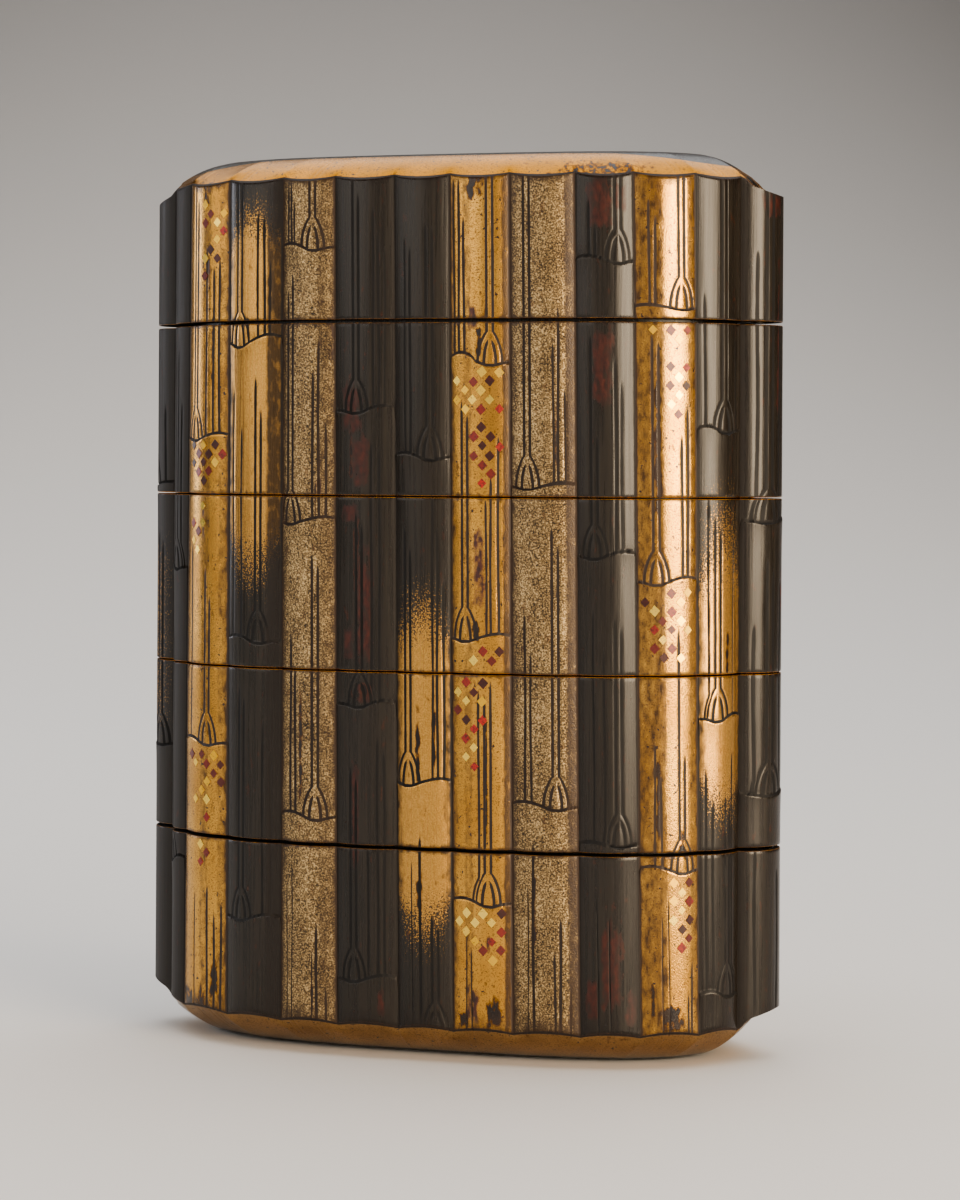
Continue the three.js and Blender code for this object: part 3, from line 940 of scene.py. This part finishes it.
def lacquer(material, colour, metal, rough, height, grime_and_shade_dark="#33200F", ink_colour="#1C0E07",
            gloss=0.5):
    """Lays wear, the dark furrows and grime with painted shade over a ground and connects the
    surface.
    """
    tree = material.node_tree
    blotch = spread_noise(tree, 0.5, 3.0, (1, 1, 0.45))
    rubbed = ramp(tree, sum_of(tree, value_of(tree, "red"), blotch, 0.9), 0.85, 1.45)
    under = mix(tree, spread_noise(tree, 0.35, 2.0, (1, 1, 0.5)), "#2A130E", "#4E241A")
    colour = mix(tree, rubbed, colour, under)
    worn = sum_of(tree, times(tree, blotch, 0.9), value_of(tree, "worn"), 0.8)
    colour = mix(tree, ramp(tree, worn, 0.72, 1.05, 0.0, 0.8), colour, "#4A2412")
    lost = ramp(tree, worn, 1.0, 1.16)
    colour = mix(tree, lost, colour, "#1A0F0A")
    cut = ramp(tree, sum_of(tree, value_of(tree, "ink"), blotch, 0.10), 0.14, 0.34)
    colour = mix(tree, cut, colour, ink_colour)
    # grime and painted shade: darker beside the grooves, at the seams and foot, and on the brown
    # strips
    grime_and_shade_mask = ramp(tree, sum_of(tree, value_of(tree, "margin"), blotch, 0.55), 0.52, 1.2, 0.0, 0.9)
    colour = mix(tree, grime_and_shade_mask, colour, grime_and_shade_dark)
    bare = times(tree, inverse(tree, lost), inverse(tree, cut))
    bare = times(tree, bare, inverse(tree, times(tree, grime_and_shade_mask, 0.7)))
    metal = times(tree, times(tree, metal, bare), inverse(tree, rubbed))
    rough = sum_of(tree, rough, cut, 0.35)
    rough = sum_of(tree, rough, rubbed, 0.12)
    bump = add(tree, "Bump", {"Height": height, "Strength": 1.0, "Distance": 0.02 * MM})
    shader = add(tree, "BsdfPrincipled", {"Base Color": colour, "Metallic": metal,
                                          "Roughness": rough, "Normal": bump.outputs[0],
                                          "IOR": 1.54, "Specular IOR Level": gloss})
    add(tree, "OutputMaterial", {"Surface": shader.outputs[0]})
    return material


# %% Roiro with sprinkled gold
def make_roiro():
    """Old black lacquer: brown in strong light, satin, finely streaked along the stems, and
    duller at the left end, where it was held. Where gold fades into it the powder is
    sprinkled thinner and thinner."""
    material = new_material("roiro_lacquer_with_sprinkled_gold")
    tree = material.node_tree
    streak = spread_noise(tree, 0.28, 3.0, (1, 1, 0.03))
    cloud = spread_noise(tree, 3.0, 4.0, (1, 1, 0.3))
    dark = mix(tree, streak, "#1A1713", "#2E2820")
    dark = mix(tree, times(tree, cloud, 0.6), dark, "#251F19")
    powder = spread_noise(tree, 0.13, 1.0)
    cover = times(tree, value_of(tree, "gold"), 1.25)
    sprinkled = ramp(tree, sum_of(tree, cover, powder, -0.9), 0.0, 0.35)
    gold = mix(tree, spread_noise(tree, 0.11, 1.0), "#AA8044", "#D0A260")
    colour = mix(tree, sprinkled, dark, gold)
    metal = times(tree, sprinkled, 0.9)
    place = add(tree, "SeparateXYZ", {0: add(tree, "TexCoord").outputs["Object"]})
    handled = ramp(tree, place.outputs["X"], -22.5 * MM, -25 * MM, 0.0, 0.26)
    rough = sum_of(tree, ramp(tree, streak, 0.0, 1.0, 0.22, 0.34), handled)
    height = sum_of(tree, times(tree, streak, 0.34), sprinkled, 0.25)
    return lacquer(material, colour, metal, rough, height, "#1F1812", "#0A0604", 0.38)


# %% Kin-ji, the gold ground
def make_gold(name, pale, deep, brown):
    """Gold powder packed close and burnished: a warm metal with a soft grain, cloudy where the
    hand has rubbed it, with tiny specks where the powder is gone. Where the band of a shoulder
    ends, the same material goes over to the dark ground."""
    material = new_material(name)
    tree = material.node_tree
    cloud = spread_noise(tree, 3.0, 3.0, (1, 1, 0.35))
    speck = spread_noise(tree, 0.13, 2.0)
    colour = mix(tree, cloud, deep, pale)
    colour = mix(tree, ramp(tree, speck, 0.45, 0.05), colour, brown)
    pits = ramp(tree, spread_noise(tree, 0.4, 2.0), 0.10, 0.05)
    colour = mix(tree, pits, colour, "#2A150B")
    rim = ramp(tree, value_of(tree, "gold"), 0.48, 0.52)
    colour = mix(tree, rim, "#17100B", colour)
    metal = times(tree, times(tree, inverse(tree, pits), rim), 0.92)
    rough = ramp(tree, speck, 0.0, 1.0, 0.28, 0.19)
    return lacquer(material, colour, metal, rough, times(tree, speck, 0.4))


# %% Nashiji, the pear-skin ground
def make_nashiji():
    """Fine flat gold flakes lie at all angles in amber lacquer over dark, so the whole has the look
    of a pear's skin. Beside the grooves the shared grime and painted shade darken it."""
    material = new_material("nashiji_lacquer")
    tree = material.node_tree
    flake = spread_noise(tree, 0.14, 1.0)
    cloud = spread_noise(tree, 1.6, 3.0, (1, 1, 0.5))
    lie = sum_of(tree, flake, sum_of(tree, -0.5, cloud), 0.35)
    colour = mix(tree, ramp(tree, lie, 0.0, 0.50), "#281F16", "#7E6848")
    colour = mix(tree, ramp(tree, lie, 0.50, 1.0), colour, "#CAB084")
    metal = ramp(tree, lie, 0.1, 0.8, 0.40, 0.9)
    rough = ramp(tree, lie, 0.0, 1.0, 0.34, 0.44)
    return lacquer(material, colour, metal, rough, times(tree, lie, 0.5))


finishes = [
    make_roiro(),
    make_gold("gold_powder_lacquer", "#D5A65A", "#B58642", "#805C34"),
    make_nashiji(),
    make_gold("shoulder_gold_lacquer", "#C98B31", "#AC7728", "#865C28"),
    # The foot's band is a darker copy of the gold: painted shade of the floor close under it.
    make_gold("foot_gold_lacquer_with_painted_shade", "#A8865A", "#907048", "#6E5434"),
]
print("finishes:", [finish.name for finish in finishes])

# %% [markdown]
# ## Building a section
# The wall starts as a flat grid primitive. Its points are moved onto the fluted surface, its
# two ends are joined into a tube, and its open rims are closed the way the real piece is: by a
# rim and socket below, by a rim and riser above, or by the flat of a dome.

# %% Sizes of the insides, as the solids have them
RECESS_INSET, RISER_INSET, CAVITY_INSET = (1.9, 1.0), (2.15, 1.25), (3.05, 2.1)
CROWN_INSET, RISER_HEIGHT, RISER_CLEARANCE = 3.0, 4.5, 0.3
FLOOR_THICKNESS, SHELL_THICKNESS, CHAMFER_HEIGHT = 1.2, 1.4, 1.3
INSIDE_FACETS = 96
CHANNEL_X, CHANNEL_HALF_WIDTH, CHANNEL_HALF_LENGTH = 28.5, 1.15, 1.6
ROIRO, GOLD, NASHIJI, BAND, FOOT = range(5)
FINISH_SLOT = {"dark": ROIRO, "sprinkled": ROIRO, "gold": GOLD, "nashiji": NASHIJI}


# %% Mesh helpers
def set_points(mesh, x, y, z):
    """Moves a mesh's points to places given in millimetres."""
    points = np.stack([x.ravel(), y.ravel(), z.ravel()], axis=1) * MM
    mesh.vertices.foreach_set("co", points.ravel())


def open_edges(mesh):
    """Marks the edges that only one face uses."""
    loops = np.empty(len(mesh.loops), int)
    mesh.loops.foreach_get("edge_index", loops)
    return np.bincount(loops, minlength=len(mesh.edges)) == 1


def select_open_rims(obj, height):
    """Selects the open edges that lie at a height and leaves the object in edit mode."""
    deselect()
    obj.select_set(True)
    bpy.context.view_layer.objects.active = obj
    bpy.ops.object.mode_set(mode="EDIT")
    bpy.ops.mesh.select_mode(type="EDGE")
    bpy.ops.mesh.select_all(action="DESELECT")
    bpy.ops.object.mode_set(mode="OBJECT")
    mesh = obj.data
    points = np.empty(len(mesh.vertices) * 3)
    mesh.vertices.foreach_get("co", points)
    level = np.abs(points[2::3] / MM - height) < 0.002
    ends = np.empty(len(mesh.edges) * 2, int)
    mesh.edges.foreach_get("vertices", ends)
    ends = ends.reshape(-1, 2)
    chosen = open_edges(mesh) & level[ends].all(axis=1)
    picked = np.zeros(len(mesh.vertices), bool)
    picked[ends[chosen].ravel()] = True
    mesh.edges.foreach_set("select", chosen)
    mesh.vertices.foreach_set("select", picked)
    bpy.ops.object.mode_set(mode="EDIT")


def wall_mesh(name, wall):
    """The outside of a section: a grid primitive bent into a closed fluted tube."""
    height, width = wall.rows["z"].shape
    deselect()
    bpy.ops.mesh.primitive_grid_add(x_subdivisions=width, y_subdivisions=height - 1)
    obj = bpy.context.object
    obj.name = obj.data.name = name
    for finish in finishes:
        obj.data.materials.append(finish)
    closed = {key: np.concatenate([value, value[:, :1]], axis=1)
              for key, value in wall.rows.items()}
    set_points(obj.data, closed["x"], closed["y"], closed["z"])
    for key in ("gold", "red", "worn", "ink", "margin"):
        attribute = obj.data.attributes.new(key, "FLOAT", "POINT")
        attribute.data.foreach_set("value", closed[key].ravel())
    slots = np.array([FINISH_SLOT[stems[number].finish] for number in wall.rib])
    slots = np.repeat(slots[None, :], height - 1, axis=0)
    dome_rows = len(DOME_INSETS)
    slots[:dome_rows if wall.is_base else LIP_ROWS] = FOOT if wall.is_base else BAND
    slots[-(dome_rows if wall.is_lid else LIP_ROWS):] = BAND
    obj.data.polygons.foreach_set("material_index", slots.ravel())
    bpy.ops.object.mode_set(mode="EDIT")
    bpy.ops.mesh.select_all(action="SELECT")
    bpy.ops.mesh.remove_doubles(threshold=1e-6)
    bpy.ops.object.mode_set(mode="OBJECT")
    return obj


def curve_ring(inset, z):
    """A circle primitive shaped to the smooth inner curve, left in edit mode, all selected."""
    deselect()
    bpy.ops.mesh.primitive_circle_add(vertices=INSIDE_FACETS)
    ring = bpy.context.object
    ring.data.materials.append(finishes[ROIRO])
    angles = 2 * np.pi * (np.arange(INSIDE_FACETS) + 0.5) / INSIDE_FACETS
    points = curve_point(angles, inset)
    set_points(ring.data, points[:, 0], points[:, 1], np.full(INSIDE_FACETS, z))
    bpy.ops.object.mode_set(mode="EDIT")
    bpy.ops.mesh.select_mode(type="EDGE")
    bpy.ops.mesh.select_all(action="SELECT")
    return ring


def draw_on(rise, inset=None, new_inset=None):
    """Extrudes the selected ring upwards and, where two insets are given, from one to the other."""
    bpy.ops.mesh.extrude_edges_move(TRANSFORM_OT_translate={"value": (0, 0, rise * MM)})
    if inset:
        factors = [(half - new) / (half - old) for half, old, new in
                   zip((GROOVE_HALF_WIDTH, GROOVE_HALF_DEPTH), inset, new_inset)]
        bpy.ops.transform.resize(value=(factors[0], factors[1], 1))


def close_ring():
    bpy.ops.mesh.edge_face_add()
    bpy.ops.object.mode_set(mode="OBJECT")


def deeper(inset):
    """The inset of a crown, past the slanting edge of the hollow with this inset."""
    return tuple(value + CROWN_INSET for value in inset)


def socket_part(low, chamfered):
    """The hollow that takes the riser of the piece below; under the lid it has a crown."""
    ring = curve_ring(RECESS_INSET, low)
    if chamfered:
        crown = total_height - SHELL_THICKNESS
        draw_on(crown - CHAMFER_HEIGHT - low)
        draw_on(CHAMFER_HEIGHT, RECESS_INSET, deeper(RECESS_INSET))
    else:
        draw_on(RISER_HEIGHT + RISER_CLEARANCE)
    close_ring()
    return ring


def riser_part(high, floor, chamfered):
    """The riser that stands in the piece above, and the cavity down to the floor."""
    ring = curve_ring(RISER_INSET, high)
    draw_on(RISER_HEIGHT)
    draw_on(0, RISER_INSET, CAVITY_INSET)
    drop = floor - (high + RISER_HEIGHT)
    if chamfered:
        draw_on(drop + CHAMFER_HEIGHT)
        draw_on(-CHAMFER_HEIGHT, CAVITY_INSET, deeper(CAVITY_INSET))
    else:
        draw_on(drop)
    close_ring()
    return ring


# %% Channels for the cord
def channel_cutter():
    """Two oval rods through the runners; the cord of an inro runs down inside them."""
    rods = []
    for side in (-1, 1):
        deselect()
        bpy.ops.mesh.primitive_cylinder_add(vertices=32, radius=CHANNEL_HALF_WIDTH * MM,
                                            depth=1.2 * total_height * MM,
                                            location=(side * CHANNEL_X * MM, 0,
                                                      total_height / 2 * MM))
        rod = bpy.context.object
        rod.scale.y = CHANNEL_HALF_LENGTH / CHANNEL_HALF_WIDTH
        bpy.ops.object.transform_apply(location=True, rotation=True, scale=True)
        rods.append(rod)
    rods[0].select_set(True)
    bpy.ops.object.join()
    return bpy.context.object


cutter = channel_cutter()
print("channel cutter", [round(v / MM, 2) for v in cutter.dimensions])


# %% One whole section
def build_section(index):
    """Wall, end faces, insides and cord channels of one section, as one closed mesh."""
    node = SECTIONS[index]
    wall = walls[index]
    low, high, is_base, is_lid = wall.low, wall.high, wall.is_base, wall.is_lid
    section = wall_mesh(node + "_lacquer", wall)
    parts = []
    if not is_base:
        parts.append(socket_part(low, chamfered=is_lid))
    if not is_lid:
        floor = SHELL_THICKNESS if is_base else (
            low + RISER_HEIGHT + RISER_CLEARANCE + FLOOR_THICKNESS)
        parts.append(riser_part(high, floor, chamfered=is_base))
    deselect()
    for part in parts:
        part.select_set(True)
    section.select_set(True)
    bpy.context.view_layer.objects.active = section
    bpy.ops.object.join()
    for end, flat in ((low, is_base), (high, is_lid)):
        select_open_rims(section, end)
        if flat:
            bpy.ops.mesh.edge_face_add()
        else:
            bpy.ops.mesh.fill(use_beauty=True)
    bpy.ops.mesh.select_all(action="SELECT")
    bpy.ops.mesh.normals_make_consistent(inside=False)
    bpy.ops.object.mode_set(mode="OBJECT")
    cut = section.modifiers.new("channels", "BOOLEAN")
    cut.object, cut.operation, cut.solver = cutter, "DIFFERENCE", "MANIFOLD"
    bpy.ops.object.modifier_apply(modifier=cut.name)
    bpy.ops.object.shade_smooth_by_angle(angle=math.radians(50))
    print(section.name, "open edges", int(open_edges(section.data).sum()), "faces",
          len(section.data.polygons), "triangles", len(section.data.loop_triangles))
    return section


sections = [build_section(index) for index in range(len(SECTIONS))]
bpy.data.objects.remove(cutter)

# %% [markdown]
# ## Kirikane lozenges
# Under some joints small lozenges cut from gold foil and red lacquer are laid one by one on a
# diamond net and coated over. Some have gone, and some of the red have left a dark bed. One of
# each kind is modelled, and each copy is a mesh of its own, turned flat onto its stem.

# %% Nets of lozenges
NET_PITCH = 1.52          # across the stem, between neighbours in a row
ROW_PITCH = 0.83
LOZENGE_HALF = 0.50
LOZENGE_THICKNESS = 0.07
LOZENGE_PROUD = 0.035
LOZENGE_ASPECT = 0.92     # width to height
LAID_SHARE, FOIL_SHARE = 0.80, 0.36  # of the places of a net: filled at all, filled with foil
SEAM_CLEAR = 0.5
# Each net: stem, top, bottom, left and right place at the top, place of its point at the bottom.
NETS = [
    (1, 78.3, 70.5, 0.45, 0.95, 0.55), (1, 56.0, 51.2, 0.25, 0.95, 0.45),
    (1, 50.4, 45.2, 0.20, 0.50, 0.30), (1, 27.2, 20.0, 0.28, 0.92, 0.55),
    (1, 18.9, 16.6, 0.45, 0.65, 0.52), (6, 62.6, 51.8, 0.08, 0.96, 0.60),
    (6, 37.6, 35.6, 0.08, 0.96, 0.50), (6, 34.8, 26.6, 0.12, 0.62, 0.36),
    (6, 14.2, 8.6, 0.10, 0.92, 0.75), (9, 66.4, 57.4, 0.50, 0.90, 0.62),
    (9, 66.4, 65.2, 0.10, 0.25, 0.15), (9, 43.0, 33.6, 0.15, 0.90, 0.50),
    (9, 17.2, 9.4, 0.45, 0.95, 0.72), (13, 66, 58, 0.1, 0.9, 0.5), (17, 50, 42, 0.1, 0.9, 0.5),
]


def make_lozenge(name):
    """One lozenge: a four-sided plate with its edges broken, points up and sideways."""
    deselect()
    bpy.ops.mesh.primitive_cylinder_add(vertices=4, radius=LOZENGE_HALF * MM,
                                        depth=LOZENGE_THICKNESS * MM)
    plate = bpy.context.object
    plate.name = name
    bpy.ops.object.mode_set(mode="EDIT")
    bpy.ops.mesh.select_all(action="SELECT")
    bpy.ops.mesh.bevel(offset=0.012 * MM, segments=1)
    bpy.ops.object.mode_set(mode="OBJECT")
    return plate


def place_on_stem(rib, u, z):
    """Section, point and outward normal at a place on a stem's smooth surface."""
    section = sum(z >= low for low in wall_low) - 1
    low, high = wall_low[section], wall_high[section]
    share = (z - low) / (high - low)
    point_low, normal_low, _, _ = outlines[low].at(np.array([rib]), np.array([u]))
    point_high, normal_high, _, _ = outlines[high].at(np.array([rib]), np.array([u]))
    point = point_low[0] * (1 - share) + point_high[0] * share
    normal = normal_low[0] * (1 - share) + normal_high[0] * share
    normal = np.append(normal / np.linalg.norm(normal), 0.0)
    return section, np.append(point, z), normal


def net_places(net):
    """Crossings of the diamond net that lie inside its tapering outline."""
    rib, top, bottom, left, right, tip = net
    width = mean_width[rib]
    step, row = NET_PITCH / 2, 0
    z = top - LOZENGE_HALF
    while z > bottom:
        down = ((top - z) / (top - bottom)) ** 1.5
        first = left + (tip - left) * down
        last = right + (tip - right) * down
        columns = np.arange(0, 1, NET_PITCH / width) + (row % 2) * step / width
        for u in columns:
            if first - 0.06 < u < last + 0.06 and 0.07 < u < 0.93:
                yield rib, u, z
        z -= ROW_PITCH
        row += 1


luck = random.Random(21)
lozenges = {"foil": {}, "red": {}}
patterns = {kind: make_lozenge(kind + "_lozenge") for kind in lozenges}
for net in NETS:
    for rib, u, z in net_places(net):
        draw = luck.random()
        if draw > LAID_SHARE:
            continue
        kind = "foil" if draw < FOIL_SHARE else "red"
        u += luck.uniform(-0.012, 0.012)
        size = luck.uniform(0.85, 1.08)
        section, point, normal = place_on_stem(rib, u, z + luck.uniform(-0.06, 0.06))
        if min(z - wall_low[section], wall_high[section] - z) < SEAM_CLEAR:
            continue
        copy = patterns[kind].copy()
        copy.data = patterns[kind].data.copy()
        bpy.context.scene.collection.objects.link(copy)
        tangent = np.array([-normal[1], normal[0], 0.0])
        lift = relief(stems[rib], np.array([u]), np.array([z]))[0]
        centre = point + normal * (LOZENGE_PROUD - LOZENGE_THICKNESS / 2 + lift)
        turn = luck.uniform(-0.08, 0.08)
        across = tangent * math.cos(turn) + np.array([0, 0, 1]) * math.sin(turn)
        up = np.cross(normal, across)
        for vertex in copy.data.vertices:
            local = np.array(vertex.co) / MM * (size * LOZENGE_ASPECT, size, 1)
            vertex.co = (centre + across * local[0] + up * local[1] + normal * local[2]) * MM
        tone = copy.data.attributes.new("tone", "FLOAT", "POINT")
        tone.data.foreach_set("value", np.full(len(copy.data.vertices), luck.random()))
        lozenges[kind].setdefault(section, []).append(copy)
for pattern in patterns.values():
    bpy.data.objects.remove(pattern)

# %% Materials of the lozenges
def make_foil():
    """Cut gold foil under clear lacquer: brighter and yellower than the powder."""
    material = new_material("gold_foil")
    tree = material.node_tree
    tone = value_of(tree, "tone")
    colour = mix(tree, tone, "#F7D873", "#E2B24A")
    colour = mix(tree, ramp(tree, grain(tree, 0.15), 0.62, 0.72), colour, "#9C6A2A")
    rough = ramp(tree, tone, 0, 1, 0.22, 0.38)
    shader = add(tree, "BsdfPrincipled", {"Base Color": colour, "Metallic": 1.0,
                                          "Roughness": rough})
    add(tree, "OutputMaterial", {"Surface": shader.outputs[0]})
    return material


def make_red_lacquer():
    """Red lacquer chips, from bright vermilion to the brown of a bed that has lost its chip."""
    material = new_material("red_lacquer_inlay")
    tree = material.node_tree
    tone = value_of(tree, "tone")
    colour = mix(tree, ramp(tree, tone, 0.05, 0.45), "#A5281B", "#6A2218")
    colour = mix(tree, ramp(tree, tone, 0.6, 0.75), colour, "#33130D")
    colour = mix(tree, ramp(tree, grain(tree, 0.2), 0.45, 0.7), colour, "#4A1710")
    shader = add(tree, "BsdfPrincipled", {"Base Color": colour, "Roughness": 0.3, "IOR": 1.54})
    add(tree, "OutputMaterial", {"Surface": shader.outputs[0]})
    return material


inlay_materials = {"foil": make_foil(), "red": make_red_lacquer()}
for kind, by_section in lozenges.items():
    for section, copies in by_section.items():
        deselect()
        for copy in copies:
            copy.select_set(True)
        bpy.context.view_layer.objects.active = copies[0]
        bpy.ops.object.join()
        joined = bpy.context.object
        joined.name = joined.data.name = SECTIONS[section] + "_" + kind + "_lozenges"
        joined.data.materials.append(inlay_materials[kind])
        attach(joined, "root")
        print(joined.name, len(copies))

# %% [markdown]
# ## The sections in place of the solids
# Each lacquered section stands for its solid and rides on the one body of the part.

# %% Hide the solids and let the sections ride on the body
for node, section in zip(SECTIONS, sections):
    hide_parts(node)
    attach(section, "root")
deselect()
